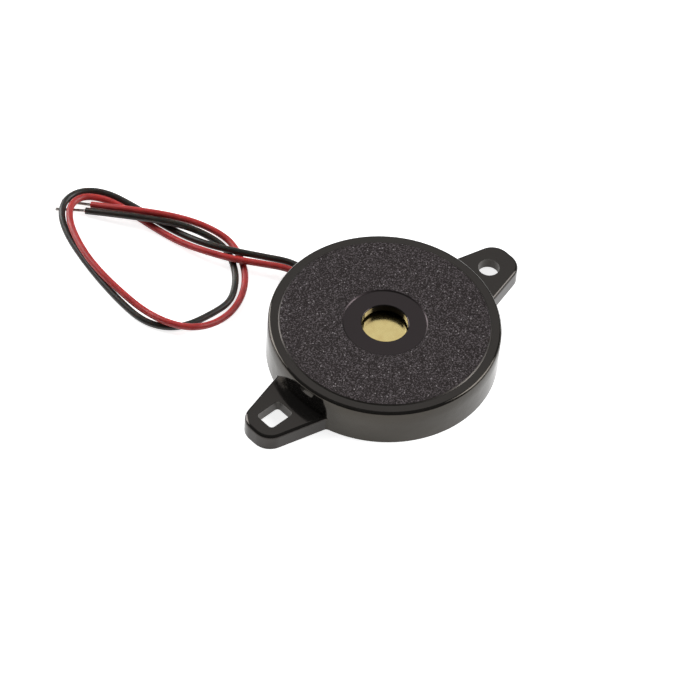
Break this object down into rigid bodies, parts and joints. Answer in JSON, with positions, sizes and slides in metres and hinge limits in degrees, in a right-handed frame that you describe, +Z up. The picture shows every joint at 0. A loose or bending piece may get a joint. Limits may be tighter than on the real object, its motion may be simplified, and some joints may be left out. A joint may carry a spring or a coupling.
{
  "type": "piezo buzzer",
  "caption": "Thin round black buzzer with two flat fixing ears, one holed and one slotted, a sound hole over a brass disc, and a red and a black lead with stripped ends.",
  "frame": {"origin": "centre of the case's base, in the plane that it stands on", "axes": "+X along the ears towards the round screw hole, +Y towards the lead notch, +Z up through the sound hole"},
  "size_m": [0.0456, 0.0611, 0.0058],
  "materials": {
    "case_abs": "glossy black moulding with a fine spark-eroded face on top",
    "cover_abs": "satin black moulding",
    "brass": "satin rolled brass",
    "piezo_ceramic": "matt fired ceramic",
    "silver": "matt fired silver",
    "silicone": "soft glossy silicone",
    "solder": "bright solder",
    "pvc_black": "satin black sheath",
    "pvc_red": "satin red sheath",
    "tinned_copper": "tinned copper strand"
  },
  "bodies": {
    "root": {"housing": "case_abs", "back_cover": "cover_abs", "brass_plate": "brass", "piezo_ceramic": "piezo_ceramic", "silver_electrode": "silver", "silicone_bead": "silicone", "plate_solder": "solder", "electrode_solder": "solder", "black_lead": "pvc_black", "red_lead": "pvc_red", "black_lead_tip": "tinned_copper", "red_lead_tip": "tinned_copper", "black_lead_tail": "tinned_copper", "red_lead_tail": "tinned_copper"}
  },
  "joints": []
}
